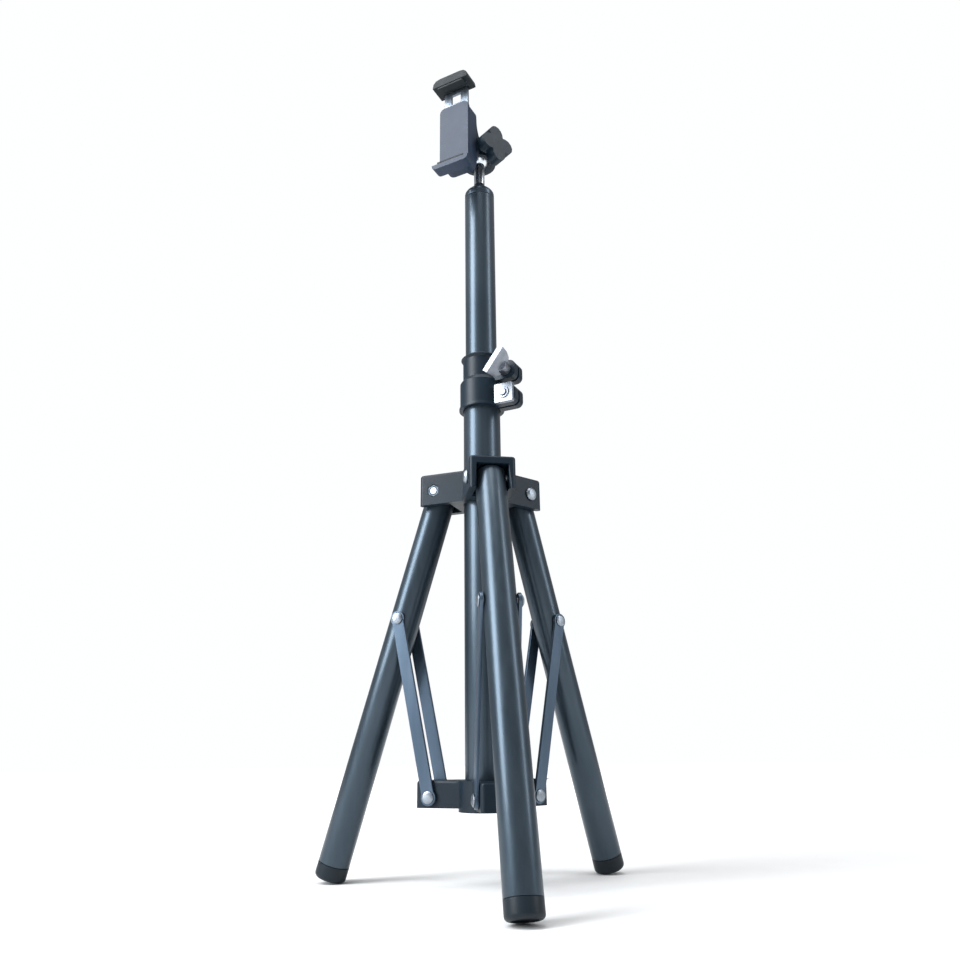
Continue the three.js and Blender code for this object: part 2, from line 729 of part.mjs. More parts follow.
function clampBackShell() {
  const shell = towardsPhone(clampOutline(clampBackBottom, clampBackCorner), clampBack, clampSplit);
  const slideRoom = block(
    [-slideWidth / 2 - gap, slideWidth / 2 + gap],
    [-clampSplit - past, -slideBack + gap],
    [slideBottom - jawTravelDown - gap, clampTop + past],
  );
  const screwEnd = platformReach + cameraScrewGrip + gap;
  const bore = alongFront(rod(cameraScrewRadius + gap, 0, screwEnd, smallSegments));
  const screwBore = bore.translate([-clampOffset, 0, 0]);
  const headSeat = clampBack + 2 * gap + clampScrewHeadHeight;
  let cuts = slideRoom.add(screwBore)
    .add(clampScrewHoles(clampBack - past, clampSplit + past, clampScrewRadius + gap))
    .add(clampScrewHoles(clampBack - past, headSeat, clampScrewHeadRadius + gap));
  for (const side of [-1, 1]) {
    const middle = side * springOffset;
    const room = springRadius + springWire + gap;
    const depth = [-clampSplit - past, -springAxis + room];
    cuts = cuts.add(block([middle - room, middle + room], depth, [springBottom - gap, slideBottom]));
  }
  return shell.subtract(cuts);
}

function clampFrontShell() {
  const near = clampSplit + gap;
  const plate = towardsPhone(clampOutline(floorBottom, clampCorner), near, clampFront);
  const jaw = towardsPhone(jawOutline(floorTop, floorBottom, jawCorner), near, jawFront);
  const half = clampWidth / 2;
  const ledge = block([-half, half], [-clampFront - ledgeDepth, -near - past], [floorTop - past, phoneBottom]);
  const holes = clampScrewHoles(near - past, clampFront - clampSkin, clampScrewRadius + gap);
  return plate.add(jaw).add(ledge).subtract(holes);
}

function clampScrew() {
  const headStart = clampBack + gap;
  const head = rod(clampScrewHeadRadius, headStart, headStart + clampScrewHeadHeight, smallSegments);
  const shank = rod(clampScrewRadius, clampBack + gap, clampFront - clampSkin - gap, smallSegments);
  return alongFront(shank.add(head));
}

function slidePlate() {
  const half = slideWidth / 2;
  const top = phoneTop + jawHeight - jawRoof;
  const outline = roundedRectangle(-half, half, slideBottom, top, slideWindowCorner);
  const windowLow = phoneTop - slideWindowDrop;
  const window = roundedRectangle(
    -slideWindowWidth / 2, slideWindowWidth / 2, windowLow, windowLow + slideWindowHeight, slideWindowCorner,
  );
  const plate = towardsPhone(outline, slideBack, slideBack + slideThickness);
  return plate.subtract(towardsPhone(window, slideBack - past, slideBack + slideThickness + past));
}

function upperJaw() {
  const low = phoneTop + jawPad + gap;
  const high = phoneTop + jawHeight;
  const slot = block(
    [-slideWidth / 2 - gap, slideWidth / 2 + gap],
    [-slideBack - slideThickness - gap, -slideBack + gap],
    [low - past, high - jawRoof + gap],
  );
  return towardsPhone(jawOutline(low, high, upperJawCorner), slideBack - jawBehind, jawFront).subtract(slot);
}

function jawPadBlock(bottom) {
  const half = clampWidth / 2 - jawPadInset;
  const near = -clampFront - ledgeDepth - gap;
  return raised(roundedRectangle(-half, half, -jawFront + gap, near, jawPadInset), bottom, bottom + jawPad);
}

class Helix extends THREE.Curve {
  constructor(radius, turns, low, high) {
    super();
    Object.assign(this, { radius, turns, low, high });
  }

  getPoint(part, target = new THREE.Vector3()) {
    const angle = part * this.turns * 2 * Math.PI;
    const height = this.low + (this.high - this.low) * part;
    return target.set(this.radius * Math.cos(angle), this.radius * Math.sin(angle), height);
  }
}

function jawSpring(middle) {
  const low = springBottom + springWire;
  const high = slideBottom - gap - springWire;
  const path = new Helix(springRadius, springTurns, low, high);
  const section = new THREE.Shape();
  section.absarc(0, 0, springWire, 0, 2 * Math.PI);
  const settings = {
    steps: springTurns * springSteps,
    extrudePath: path,
    curveSegments: springWireSegments,
    bevelEnabled: false,
  };
  const wire = toSolid(new THREE.ExtrudeGeometry(section, settings));
  return wire.translate([middle, -springAxis, 0]);
}

// ---------------------------------------------------------------- assembly
const column = group(stand);
piece(column, 'column_tube', columnTube(), tubePaint);
piece(column, 'column_end_plug', columnEndPlug(), hubPlastic);
piece(column, 'lower_hub', lowerHub(), hubPlastic);
piece(column, 'lower_hub_screw', lowerHubScrew(), zinc);

const collar = group(column, [0, 0, columnTop], [0, 0, degToRad(collarAzimuth)]);
piece(collar, 'column_collar', columnCollar(), hubPlastic);
const [lowerEar, upperEar] = earMiddles.map((middle) => group(collar, [earBoltOffset, 0, middle]));
piece(lowerEar, 'collar_bolt', collarBolt(), zinc);
piece(lowerEar, 'collar_square_nut', squareNut(), zinc);
piece(upperEar, 'wing_lock_nut', hexNut(), zinc);
piece(upperEar, 'wing_lock_screw', wingScrew(), zinc);
piece(upperEar, 'wing_lock_knob', wingKnob(), chrome);

const hub = group(stand, [0, 0, pivotHeight]);
piece(hub, 'upper_hub', upperHub(), hubPlastic);
const hubLock = group(hub, [0, 0, 0], [0, 0, degToRad(hubLockAzimuth)]);
piece(hubLock, 'hub_lock_insert', hubLockInsert(), brass);
piece(hubLock, 'hub_lock_screw', hubLockScrew(), zinc);
piece(hubLock, 'hub_lock_knob', hubLockKnob(), hubPlastic);

for (const [side, azimuth] of Object.entries(legAzimuths)) {
  const sector = group(stand, [0, 0, 0], [0, 0, degToRad(azimuth)]);
  const pivot = group(sector, [legPivotRadius, 0, pivotHeight]);
  piece(pivot, `pivot_bolt_${side}`, pivotBolt(), zinc);
  piece(pivot, `pivot_nut_${side}`, pivotNut(), zinc);
  const leg = group(pivot, [0, 0, 0], [0, -legTilt, 0]);
  piece(leg, `leg_tube_${side}`, legTube(), tubePaint);
  piece(leg, `leg_top_plug_${side}`, legTopPlug(), hubPlastic);
  piece(leg, `foot_cap_${side}`, footCap(), footRubber);
  const struts = group(sector, [lowerPivotRadius, 0, lowerPivotHeight], [0, strutLean, 0]);
  piece(struts, `strut_${side}_a`, strutBar(-1), strutPaint);
  piece(struts, `strut_${side}_b`, strutBar(1), strutPaint);
  piece(struts, `strut_rivet_${side}_lower`, strutRivet(), zinc);
  const upperRivet = group(struts, [0, 0, strutLength]);
  piece(upperRivet, `strut_rivet_${side}_upper`, strutRivet(), zinc);
}

const extension = group(stand);
piece(extension, 'extension_guide', extensionGuide(), hubPlastic);
piece(extension, 'extension_tube', extensionTube(), tubePaint);
const stem = group(stand, [0, 0, ballHeight]);
piece(stem, 'ball_stem', ballStem(), chrome);

const head = group(stand, [0, 0, ballHeight], [headTilt, 0, headYaw], 'ZXY');
piece(head, 'ball_housing', ballHousing(), hubPlastic);
piece(head, 'camera_screw', cameraScrew(), zinc);
const lock = group(head, [0, 0, 0], [0, 0, degToRad(lockAzimuth)]);
piece(lock, 'ball_brake_shoe', brakeShoe(), brass);
piece(lock, 'ball_lock_screw', lockScrew(), zinc);
piece(lock, 'ball_lock_knob', lockKnob(), hubPlastic);

const clamp = group(head, [clampOffset, 0, 0]);
piece(clamp, 'clamp_back', clampBackShell(), clampPlastic);
piece(clamp, 'clamp_front', clampFrontShell(), clampPlastic);
for (const [side, direction] of [['left', -1], ['right', 1]]) {
  const screw = group(clamp, [direction * clampScrewOffset, 0, clampScrewHeight]);
  piece(screw, `clamp_screw_${side}`, clampScrew(), zinc);
  piece(clamp, `jaw_spring_${side}`, jawSpring(direction * springOffset), springSteel);
}
piece(clamp, 'slide_plate', slidePlate(), slideMetal);
piece(clamp, 'upper_jaw', upperJaw(), jawRubber);
piece(clamp, 'upper_jaw_pad', jawPadBlock(phoneTop), jawRubber);
piece(clamp, 'lower_jaw_pad', jawPadBlock(phoneBottom - jawPad), jawRubber);

// The origin is the middle of the footprint, on the floor.
const bounds = new THREE.Box3().setFromObject(stand, true);
const middle = bounds.getCenter(new THREE.Vector3());
stand.position.set(-middle.x, -middle.y, -bounds.min.z);
stand.updateMatrixWorld(true);

export default stand;
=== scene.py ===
# %% [markdown]
# # A small folding phone stand, finished in Blender
# The stand is a column on three folding legs, a tube that slides out of the column, a ball head and a
# sprung clamp for a phone. The measured model is loaded first and never changed: every piece below
# stands exactly where that model has it, and moves with it.

# %% Load the measured model
import json
from math import asin, cos, pi, radians, sin, sqrt

import bmesh
import bpy
from mathutils import Matrix, Vector

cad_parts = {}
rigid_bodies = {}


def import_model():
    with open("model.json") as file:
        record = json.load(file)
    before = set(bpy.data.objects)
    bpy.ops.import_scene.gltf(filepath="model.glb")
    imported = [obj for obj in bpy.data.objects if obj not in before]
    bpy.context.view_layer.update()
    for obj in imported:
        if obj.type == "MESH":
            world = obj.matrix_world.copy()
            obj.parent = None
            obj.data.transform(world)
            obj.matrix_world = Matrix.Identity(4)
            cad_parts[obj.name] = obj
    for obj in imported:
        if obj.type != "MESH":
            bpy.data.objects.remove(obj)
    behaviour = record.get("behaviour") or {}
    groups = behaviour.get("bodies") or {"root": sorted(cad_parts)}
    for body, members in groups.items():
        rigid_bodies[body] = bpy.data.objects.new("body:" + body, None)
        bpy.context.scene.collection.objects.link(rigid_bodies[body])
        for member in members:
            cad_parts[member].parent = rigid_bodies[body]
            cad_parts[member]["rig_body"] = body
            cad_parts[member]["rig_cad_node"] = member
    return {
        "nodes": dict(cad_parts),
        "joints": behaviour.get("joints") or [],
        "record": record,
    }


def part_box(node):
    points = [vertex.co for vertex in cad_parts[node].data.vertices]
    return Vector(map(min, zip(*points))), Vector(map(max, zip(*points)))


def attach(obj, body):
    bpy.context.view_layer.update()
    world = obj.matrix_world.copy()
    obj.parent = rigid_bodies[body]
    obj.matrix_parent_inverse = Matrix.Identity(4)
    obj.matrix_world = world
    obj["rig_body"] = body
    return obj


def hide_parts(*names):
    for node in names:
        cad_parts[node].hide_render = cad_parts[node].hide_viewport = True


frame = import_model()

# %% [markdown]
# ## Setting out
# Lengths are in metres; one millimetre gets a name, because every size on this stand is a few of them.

MM = 0.001
BODIES = frame["record"]["behaviour"]["bodies"]
BODY_OF = {node: body for body, members in BODIES.items() for node in members}
JOINTS = {joint["name"]: joint for joint in frame["joints"]}
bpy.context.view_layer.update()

# %% [markdown]
# ## The camera
# The stand is seen from just above the floor, looking up, from a little to the left of the front leg.
# A camera is a point, a heading, a slope and a slight roll, so those four numbers are all that is set.

# %% Place the camera
CAMERA_PLACE = Vector((-86.66, -490.39, 76.60)) * MM
CAMERA_HEADING = radians(-9.34)
CAMERA_SLOPE = radians(18.165)
CAMERA_ROLL = radians(-0.584)
CAMERA_LENS = 30.9


def aim(heading, slope, roll):
    ahead = Matrix.Rotation(heading, 3, "Z") @ Vector((0, cos(slope), sin(slope)))
    level = ahead.cross(Vector((0, 0, 1))).normalized()
    upright = level.cross(ahead)
    right = cos(roll) * level + sin(roll) * upright
    up = cos(roll) * upright - sin(roll) * level
    return Matrix((right, up, -ahead)).transposed().to_4x4()


bpy.ops.object.camera_add()
camera = bpy.context.active_object
camera.name = "camera"
camera.data.lens = CAMERA_LENS
camera.data.sensor_width = 36
camera.data.clip_start = 0.01
camera.matrix_world = Matrix.Translation(CAMERA_PLACE) @ aim(CAMERA_HEADING, CAMERA_SLOPE, CAMERA_ROLL)
bpy.context.scene.camera = camera

# %% [markdown]
# ## Working by hand
# An operator acts on whatever is selected, so each step starts by selecting one thing and nothing else.
# In edit mode the faces are then picked by where they are, which is what a maker does by eye.

# %% Selecting and editing
def only(piece):
    if bpy.context.object and bpy.context.object.mode != "OBJECT":
        bpy.ops.object.mode_set(mode="OBJECT")
    bpy.ops.object.select_all(action="DESELECT")
    piece.select_set(True)
    bpy.context.view_layer.objects.active = piece


def edit(piece, kind="FACE"):
    only(piece)
    bpy.ops.object.mode_set(mode="EDIT")
    bpy.ops.mesh.select_mode(type=kind)
    bpy.ops.mesh.select_all(action="DESELECT")
    return bmesh.from_edit_mesh(piece.data)


def pick(piece, elements, wanted):
    chosen = [element for element in elements if wanted(element)]
    for element in chosen:
        element.select_set(True)
    bmesh.from_edit_mesh(piece.data).select_flush_mode()
    bmesh.update_edit_mesh(piece.data)
    return len(chosen)


LEVEL = 0.9


def pick_faces(piece, wanted):
    return pick(piece, edit(piece).faces, wanted)


def done():
    bpy.ops.object.mode_set(mode="OBJECT")


def apply_modifier(piece, kind, **settings):
    only(piece)
    modifier = piece.modifiers.new(kind.title(), kind)
    for name, value in settings.items():
        setattr(modifier, name, value)
    bpy.ops.object.modifier_apply(modifier=modifier.name)


SMOOTH_UP_TO = radians(35)
SHARP_FROM = radians(60)


def smooth(piece, angle=SMOOTH_UP_TO):
    only(piece)
    bpy.ops.object.shade_smooth_by_angle(angle=angle)


# %% [markdown]
# ## Where a piece goes
# A piece is shaped upright at the origin, where round things are easy, and is then laid in its place.
# The place goes into the mesh, so that the finished piece's own object stays at the origin, unturned.

# %% Placing and riding
def lay(piece, place):
    only(piece)
    piece.matrix_world = place
    bpy.ops.object.transform_apply(location=True, rotation=True, scale=True)


def middle_of(node):
    low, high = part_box(node)
    return (low + high) / 2


centre = middle_of("column_tube")
AXIS = Vector((centre.x, centre.y, 0))


def size_of(node):
    low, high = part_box(node)
    return high - low


def stand_in(piece, finish, *nodes):
    piece.data.materials.clear()
    piece.data.materials.append(finish)
    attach(piece, BODY_OF[nodes[0]])
    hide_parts(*nodes)


# %% [markdown]
# ## Finishes as plain arithmetic
# A finish is a recipe: take some noise, stretch it, mix two colours by it. Written as node links that
# is hard to read, so a socket is wrapped in a small class, and sums on it make Math nodes.

# %% A small class for sockets
class Wire:
    tree = None

    def __init__(self, socket):
        self.socket = socket

    @staticmethod
    def node(kind, settings=None, inputs=None, output=0):
        made = Wire.tree.nodes.new(kind)
        for name, value in (settings or {}).items():
            setattr(made, name, value)
        for name, value in (inputs or {}).items():
            if isinstance(value, Wire):
                Wire.tree.links.new(value.socket, made.inputs[name])
            else:
                made.inputs[name].default_value = value
        return Wire(made.outputs[output])

    @staticmethod
    def sum(operation, first, second=0.0):
        return Wire.node("ShaderNodeMath", {"operation": operation}, {0: first, 1: second})

    def __add__(self, other):
        return Wire.sum("ADD", self, other)

    def __radd__(self, other):
        return Wire.sum("ADD", other, self)

    def __sub__(self, other):
        return Wire.sum("SUBTRACT", self, other)

    def __rsub__(self, other):
        return Wire.sum("SUBTRACT", other, self)

    def __mul__(self, other):
        return Wire.sum("MULTIPLY", self, other)

    def __rmul__(self, other):
        return Wire.sum("MULTIPLY", other, self)

    def between(self, low, high):
        span = {"From Min": low, "From Max": high, "Value": self}
        return Wire.node("ShaderNodeMapRange", {"interpolation_type": "SMOOTHSTEP"}, span)

    def tint(self, low, high):
        colours = {"Factor": self, 6: (*low, 1), 7: (*high, 1)}
        return Wire.node("ShaderNodeMix", {"data_type": "RGBA"}, colours, output=2)


def place_on(stretch=(1, 1, 1)):
    where = Wire.node("ShaderNodeTexCoord", output=3)
    return Wire.node("ShaderNodeMapping", inputs={"Vector": where, "Scale": stretch})


def noise(scale, detail=3.0, rough=0.5, stretch=(1, 1, 1)):
    inputs = {"Vector": place_on(stretch), "Scale": scale, "Detail": detail, "Roughness": rough}
    return Wire.node("ShaderNodeTexNoise", inputs=inputs)


def bump(height, strength, distance):
    return Wire.node("ShaderNodeBump", inputs={"Height": height, "Strength": strength, "Distance": distance})


def begin(name):
    finish = bpy.data.materials.new(name)
    finish.use_nodes = True
    Wire.tree = finish.node_tree
    return finish, Wire.tree.nodes["Principled BSDF"].inputs


def feed(inputs, **sockets):
    for name, value in sockets.items():
        socket = inputs[name.replace("_", " ")]
        if isinstance(value, Wire):
            Wire.tree.links.new(value.socket, socket)
        else:
            socket.default_value = value


# %% [markdown]
# ## Painted tubes
# The column, the sliding tube and the legs are thin metal tubes in a dark blue-grey satin paint. The
# paint is one even coat with a fine metallic flake, a faint orange-peel surface, and long rubbed
# streaks where one tube runs in another. A clear coat gives the crisp edge to its long highlights.

# %% Tube paint
def painted(name, dark, light, metal, rough, coat):
    finish, surface = begin(name)
    cloud = noise(14, detail=4)
    flake = noise(5200, detail=1).between(0.55, 0.72)
    streak = noise(260, detail=3, stretch=(1, 1, 0.02)).between(0.35, 0.75)
    shade = cloud.between(0.3, 0.7) * 0.55 + streak * 0.25 + flake * 0.2
    peel = noise(900, detail=2)
    feed(
        surface,
        Base_Color=shade.tint(dark, light),
        Metallic=metal,
        Roughness=rough + streak * 0.06 + cloud * 0.05,
        Coat_Weight=coat,
        Coat_Roughness=0.12,
        Normal=bump(peel, 0.12, 0.00005),
    )
    return finish


tube_paint = painted("tube_paint", (0.034, 0.052, 0.070), (0.054, 0.076, 0.098), 0.72, 0.30, 0.12)
strut_paint = painted("strut_paint", (0.055, 0.085, 0.125), (0.090, 0.130, 0.180), 0.7, 0.32, 0.15)

# %% [markdown]
# ## Moulded plastic and rubber
# The hubs, the collar, the knobs and the clamp are moulded, so their surface has a fine spark-eroded
# grain. Rubber is the same idea with a coarser grain and a duller surface.

# %% Mouldings
def moulded(name, dark, light, rough, grain, depth):
    finish, surface = begin(name)
    cloud = noise(30, detail=4)
    erosion = noise(grain, detail=3, rough=0.65)
    rub = noise(90, detail=5, rough=0.7).between(0.5, 0.75)
    shade = cloud.between(0.3, 0.7) * 0.6 + erosion * 0.25 + rub * 0.15
    feed(
        surface,
        Base_Color=shade.tint(dark, light),
        Roughness=rough + erosion * 0.12 - rub * 0.08,
        Normal=bump(erosion, 0.35, depth),
        Specular_IOR_Level=0.25,
    )
    return finish


hub_plastic = moulded("hub_plastic", (0.003, 0.009, 0.016), (0.007, 0.017, 0.028), 0.36, 2600, 0.00006)
clamp_plastic = moulded("clamp_plastic", (0.012, 0.022, 0.042), (0.021, 0.034, 0.060), 0.42, 2600, 0.00005)
foot_rubber = moulded("foot_rubber", (0.004, 0.009, 0.014), (0.009, 0.016, 0.023), 0.36, 1800, 0.00006)
jaw_rubber = moulded("jaw_rubber", (0.006, 0.010, 0.012), (0.013, 0.019, 0.022), 0.6, 1500, 0.0001)

# %% [markdown]
# ## Bare and plated metal
# Zinc-plated fixings are a soft grey with a mottled sheen, chrome is nearly a mirror with a few wiped
# hairlines, and the sliding plate is brushed along its length. One recipe serves: fine scratches that
# are stretched along the brushing, over a slow mottling that changes the roughness.

# %% Metals
def metal(name, dark, light, rough, spread, brush=(1, 1, 1), scratch=700):
    finish, surface = begin(name)
    mottle = noise(160, detail=4)
    hairline = noise(scratch, detail=2, rough=0.6, stretch=brush)
    shade = mottle.between(0.3, 0.7) * 0.5 + hairline * 0.5
    feed(
        surface,
        Base_Color=shade.tint(dark, light),
        Metallic=1.0,
        Roughness=rough + hairline.between(0.3, 0.8) * spread + mottle * spread * 0.5,
        Normal=bump(hairline, 0.08, 0.00001),
    )
    return finish


zinc = metal("zinc", (0.20, 0.23, 0.27), (0.36, 0.40, 0.44), 0.32, 0.14)
chrome = metal("chrome", (0.62, 0.66, 0.71), (0.78, 0.82, 0.86), 0.24, 0.08, scratch=400)
nickel = metal("chrome.satin", (0.20, 0.22, 0.26), (0.33, 0.36, 0.40), 0.36, 0.12, scratch=500)
blackened = metal("zinc.blackened", (0.06, 0.08, 0.10), (0.11, 0.14, 0.17), 0.35, 0.12)
brass = metal("brass", (0.42, 0.29, 0.11), (0.62, 0.45, 0.19), 0.26, 0.12)
slide_metal = metal("slide_metal", (0.15, 0.18, 0.22), (0.26, 0.30, 0.35), 0.34, 0.16, brush=(1, 1, 0.03))
spring_steel = metal("spring_steel", (0.30, 0.32, 0.34), (0.46, 0.48, 0.50), 0.22, 0.1)

# %% [markdown]
# ## Pieces that keep the model's shape
# Mouldings such as the hubs already have their true shape in the model, but as loose triangles with
# knife edges. A copy is welded, its flat faces are joined up again, and every hard edge gets the small
# round that a real mould or a tumbling barrel leaves. That round is what catches the light.

# %% Weld and round a copy of a model piece
WELD = 0.01 * MM
FLAT = radians(0.6)
LONG_EDGE = 5 * MM
LUG_START = 36 * MM


def outer_edge(line):
    if not line.is_convex or line.calc_face_angle(0) < SHARP_FROM:
        return False
    if min(face.normal.z for face in line.link_faces) < -LEVEL:
        return False
    first, second = (point.co for point in line.verts)
    middle = (first + second) / 2
    level = abs(first.z - second.z) < WELD
    beyond = (Vector((middle.x, middle.y, 0)) - AXIS).length > LUG_START
    return line.calc_length() > LONG_EDGE or (level and beyond)


def soften(piece, edge, steps):
    count = pick(piece, edit(piece, "EDGE").edges, outer_edge)
    bpy.ops.mesh.bevel(offset=edge, segments=steps, clamp_overlap=False)
    done()
    return count


def trued(node, finish, edge=0.3 * MM, steps=2, turn=radians(32), corner=0.0):
    only(frame["nodes"][node])
    bpy.ops.object.duplicate()
    piece = bpy.context.active_object
    piece.name = node + "_finished"
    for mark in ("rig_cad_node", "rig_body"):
        if mark in piece:
            del piece[mark]
    piece.parent = None
    piece.data = piece.data.copy()
    edit(piece, "VERT")
    bpy.ops.mesh.select_all(action="SELECT")
    bpy.ops.mesh.remove_doubles(threshold=WELD)
    bpy.ops.mesh.dissolve_limited(angle_limit=FLAT)
    done()
    if corner:
        print(node, "has", soften(piece, corner, steps), "rounded corners")
    if edge:
        apply_modifier(piece, "BEVEL", width=edge, segments=steps, limit_method="ANGLE", angle_limit=turn)
    smooth(piece, turn)
    apply_modifier(piece, "WEIGHTED_NORMAL", keep_sharp=True, weight=100)
    stand_in(piece, finish, node)
    return piece


# %% [markdown]
# ## Tubes
# A tube starts as a capped cylinder. Both caps are inset by the wall, the inner discs are cut away and
# the two round edges left behind are bridged, which makes the bore. The four rims are then bevelled.

# %% Make a tube
ROUND = 96


def rod(radius, bottom, top, sides=ROUND):
    bpy.ops.object.select_all(action="DESELECT")
    centre = (0, 0, (bottom + top) / 2)
    bpy.ops.mesh.primitive_cylinder_add(vertices=sides, radius=radius, depth=top - bottom, location=centre)
    piece = bpy.context.active_object
    bpy.ops.object.transform_apply(location=True)
    return piece


RIM = 0.25 * MM


def tube(radius, wall, bottom, top):
    piece = rod(radius, bottom, top)
    pick_faces(piece, lambda face: abs(face.normal.z) > LEVEL)
    bpy.ops.mesh.inset(thickness=wall, use_individual=True)
    bpy.ops.mesh.delete(type="FACE")
    bpy.ops.mesh.select_mode(type="EDGE")
    bpy.ops.mesh.select_non_manifold()
    bpy.ops.mesh.bridge_edge_loops()
    bpy.ops.mesh.select_all(action="DESELECT")
    bpy.ops.mesh.edges_select_sharp(sharpness=SHARP_FROM)
    bpy.ops.mesh.bevel(offset=RIM, segments=3)
    bpy.ops.mesh.select_all(action="SELECT")
    bpy.ops.mesh.normals_make_consistent(inside=False)
    done()
    smooth(piece)
    return piece


# %% [markdown]
# ## Column and sliding tube
# The column is 25 mm across, and the tube that slides in it is a little thinner, so that it runs
# through the collar. Both are cut from drawn tube with a wall of one millimetre.

# %% Column and sliding tube
TUBE_WALL = 1.0 * MM
for node in ("column_tube", "extension_tube"):
    low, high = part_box(node)
    made = tube((high.x - low.x) / 2, TUBE_WALL, low.z, high.z)
    lay(made, Matrix.Translation(AXIS))
    made.name = node + "_drawn"
    stand_in(made, tube_paint, node)
    print(node, "is", round((high.z - low.z) / MM, 1), "mm long")

# %% [markdown]
# ## Legs
# Each leg is one straight tube that leans out from the column. The front one is made upright, laid
# along its lean, and copied round the column for the other two, each copy with its own mesh. A foot is
# a moulded cap with a rounded end, a fine groove where it meets the tube, and a stem inside the tube.

# %% Front leg and foot
LEG_LEAN = radians(17.34)
LEG_WALL = 1.2 * MM
LEG_TOP = 2.6 * MM
LEG_LENGTH = 249.3 * MM
FOOT_LENGTH = 9 * MM
FOOT_EDGE = 2.4 * MM
FOOT_STEM = 12 * MM
FOOT_RING = 0.8 * MM
FOOT_HOLLOW = 0.5 * MM
GAP = 0.3 * MM
pivot = Vector(JOINTS["leg_front_fold"]["pos_m"])
leg_radius = size_of("leg_tube_front").x / 2
leg_place = Matrix.Translation(pivot) @ Matrix.Rotation(-LEG_LEAN, 4, "X")
foot_joint = -LEG_LENGTH + FOOT_LENGTH

tube_end = foot_joint + GAP
print("front leg pivot in mm:", [round(value / MM, 1) for value in pivot])
print("leg radius in mm:", round(leg_radius / MM, 2))


def foot_cap():
    piece = rod(leg_radius, -LEG_LENGTH, foot_joint)
    pick_faces(piece, lambda face: face.normal.z > LEVEL)
    bpy.ops.mesh.inset(thickness=LEG_WALL + GAP)
    bpy.ops.mesh.extrude_region_move(TRANSFORM_OT_translate={"value": (0, 0, FOOT_STEM)})
    pick_faces(piece, lambda face: face.normal.z < -LEVEL)
    bpy.ops.mesh.bevel(offset=FOOT_EDGE, segments=8, affect="EDGES")
    pick_faces(piece, lambda face: face.normal.z < -LEVEL and face.calc_area() > leg_radius ** 2)
    bpy.ops.mesh.inset(thickness=FOOT_RING)
    bpy.ops.mesh.extrude_region_move(TRANSFORM_OT_translate={"value": (0, 0, FOOT_HOLLOW)})
    done()
    smooth(piece)
    return piece


def turned_copy(piece, turn):
    only(piece)
    bpy.ops.object.duplicate()
    copy = bpy.context.active_object
    copy.data = copy.data.copy()
    about = Matrix.Translation(AXIS) @ Matrix.Rotation(turn, 4, "Z") @ Matrix.Translation(-AXIS)
    lay(copy, about)
    return copy


front_tube = tube(leg_radius, LEG_WALL, tube_end, LEG_TOP)
lay(front_tube, leg_place)
front_foot = foot_cap()
lay(front_foot, leg_place)

# %% [markdown]
# The other two legs stand a third of a turn either side. A copy is turned about the column's own axis
# and the turn goes into its mesh, so each leg's object still sits at the origin and rides on its body.

# %% Copy the leg round the column
SIDES = {"front": 0.0, "right": radians(120), "left": radians(240)}
for side, turn in reversed(SIDES.items()):
    for model, node, finish in (
        (front_tube, "leg_tube_" + side, tube_paint),
        (front_foot, "foot_cap_" + side, foot_rubber),
    ):
        made = turned_copy(model, turn) if turn else model
        made.name = node + "_made"
        stand_in(made, finish, node)

# %% [markdown]
# ## Hubs, collar and fixings
# These keep the shape they have in the model. The larger mouldings get a softer edge than the small
# turned and pressed fixings.

# %% Hubs and collar
for node in ("upper_hub", "lower_hub"):
    trued(node, hub_plastic, edge=0.3 * MM, steps=3, corner=1.6 * MM)
trued("column_collar", hub_plastic, edge=0.35 * MM, steps=3)
for node in ("column_end_plug", "extension_guide"):
    trued(node, hub_plastic)
for side in SIDES:
    trued("leg_top_plug_" + side, hub_plastic)

# %% [markdown]
# ## Struts, rivets and pivots
# A strut is a flat bar with round ends, sheared from strip, so its edges are nearly sharp. The domed
# rivets and pivot heads are zinc plated; the nuts sunk into the hub are blackened and hardly show.

# %% Struts, rivets and pivots
for side in SIDES:
    for node in ("strut_" + side + "_a", "strut_" + side + "_b"):
        trued(node, strut_paint, edge=0.35 * MM)
    for node in ("strut_rivet_" + side + "_lower", "strut_rivet_" + side + "_upper"):
        trued(node, zinc, edge=0.25 * MM)
    trued("pivot_bolt_" + side, zinc, edge=0.25 * MM)
    trued("pivot_nut_" + side, blackened, edge=0.25 * MM)

# %% [markdown]
# ## Locks
# Three knobs are turned by hand: the wing on the collar, the small ribbed knob behind the upper hub and
# the four-lobed knob on the ball head. What fingers hold has a generous round; what a spanner holds
# has hardly any. The square nut and the wing are bright metal, and the two knobs are moulded.

# %% Lock screws and knobs
for node in ("lower_hub_screw", "collar_bolt", "wing_lock_nut", "hub_lock_screw", "ball_lock_screw"):
    trued(node, zinc, edge=0.15 * MM)
for node in ("wing_lock_screw", "camera_screw"):
    trued(node, chrome, edge=0.15 * MM)
trued("collar_square_nut", nickel, edge=0.3 * MM)
trued("wing_lock_knob", nickel, edge=0.5 * MM, steps=4)
trued("hub_lock_insert", brass, edge=0.2 * MM)
trued("hub_lock_knob", hub_plastic, edge=0.6 * MM, steps=4)
trued("ball_lock_knob", hub_plastic, edge=1.0 * MM, steps=5)
trued("ball_brake_shoe", jaw_rubber, edge=0.2 * MM)

# %% [markdown]
# ## Ball stem
# The stem is one turned, chromed piece: a shoulder that caps the tube, a slim neck and a ball. It is
# made as on a lathe: a disc is extruded upwards ring by ring, and each ring is scaled to its radius.

